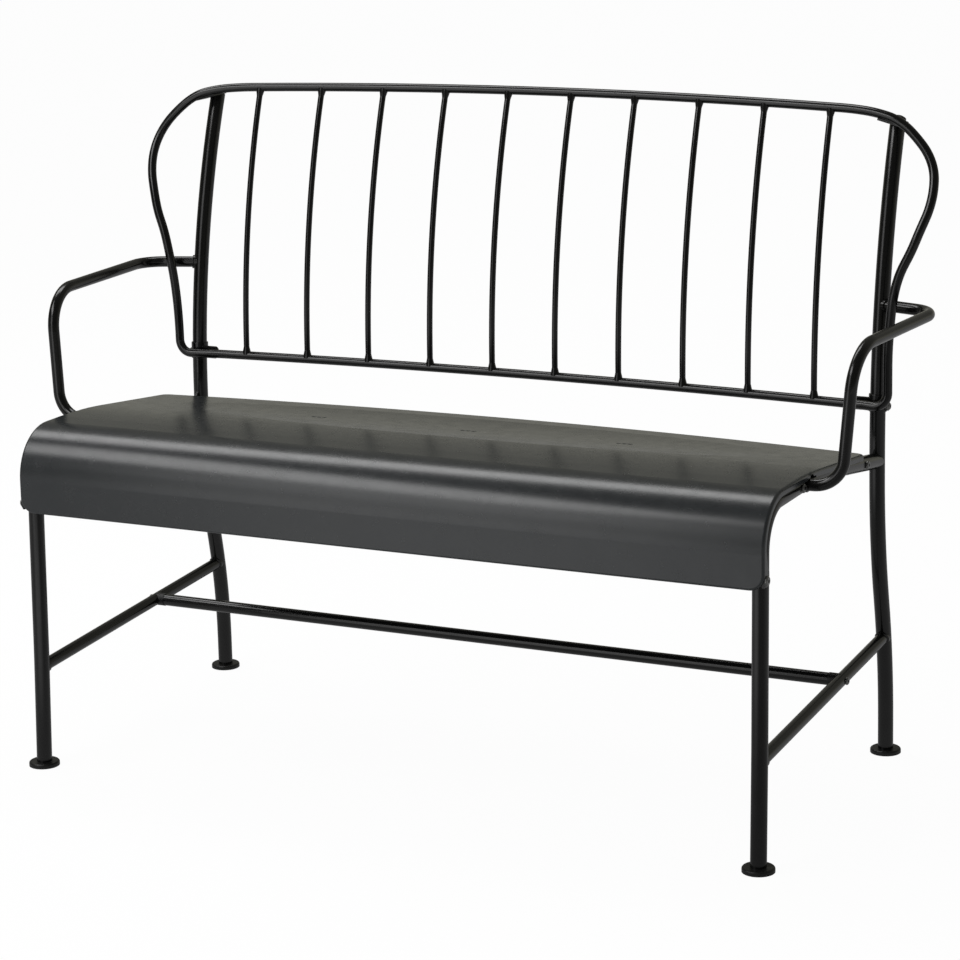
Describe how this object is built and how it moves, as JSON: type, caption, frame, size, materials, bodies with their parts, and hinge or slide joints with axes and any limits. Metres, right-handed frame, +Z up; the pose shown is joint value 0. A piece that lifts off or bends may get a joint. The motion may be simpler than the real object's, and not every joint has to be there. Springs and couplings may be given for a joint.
{
  "type": "patio loveseat bench",
  "caption": "Two-seat metal patio bench with a folded sheet seat, tube legs, looped tube armrests and a curved rod back with spindles and rounded ends.",
  "frame": {"origin": "on the floor, below the middle of the bench's bounding box", "axes": "+X along the seat to the sitter's left as seen from the front's right, +Y from the front skirt to the back, +Z up"},
  "size_m": [1.1684, 0.5348, 0.8533],
  "materials": {
    "tube_coat": "satin black powder coat",
    "rod_coat": "satin black powder coat",
    "seat_coat": "satin charcoal powder coat",
    "black_screw": "black zinc screws and nuts",
    "plain_steel": "bare steel liners inside the tube seams",
    "black_plastic": "matte black moulded feet, caps and pads"
  },
  "bodies": {
    "root": {"armrest_left": "tube_coat", "armrest_right": "tube_coat", "back_bottom_rail": "rod_coat", "back_side_rod_left": "rod_coat", "back_side_rod_right": "rod_coat", "back_top_rail": "rod_coat", "clamp_bolts": "black_screw", "cross_stretcher": "tube_coat", "front_foot_left": "black_plastic", "front_foot_right": "black_plastic", "front_leg_left": "tube_coat", "front_leg_right": "tube_coat", "lower_clamp_left": "tube_coat", "lower_clamp_right": "tube_coat", "post_cap_left": "black_plastic", "post_cap_right": "black_plastic", "rail_joint_screws": "black_screw", "rail_spigots": "plain_steel", "rear_foot_left": "black_plastic", "rear_foot_right": "black_plastic", "rear_leg_left": "tube_coat", "rear_leg_right": "tube_coat", "rear_stub_left": "tube_coat", "rear_stub_right": "tube_coat", "seat_nuts": "black_screw", "seat_pads": "black_plastic", "seat_panel": "seat_coat", "seat_studs": "black_screw", "side_rail_left": "tube_coat", "side_rail_right": "tube_coat", "side_stretcher_left": "tube_coat", "side_stretcher_right": "tube_coat", "skirt_screws": "black_screw", "skirt_tab_left": "tube_coat", "skirt_tab_right": "tube_coat", "spindle_01": "rod_coat", "spindle_02": "rod_coat", "spindle_03": "rod_coat", "spindle_04": "rod_coat", "spindle_05": "rod_coat", "spindle_06": "rod_coat", "spindle_07": "rod_coat", "spindle_08": "rod_coat", "spindle_09": "rod_coat", "spindle_10": "rod_coat", "stretcher_bolts": "black_screw", "stretcher_saddle_left": "black_plastic", "stretcher_saddle_right": "black_plastic", "upper_bracket_left": "tube_coat", "upper_bracket_right": "tube_coat"}
  },
  "joints": []
}
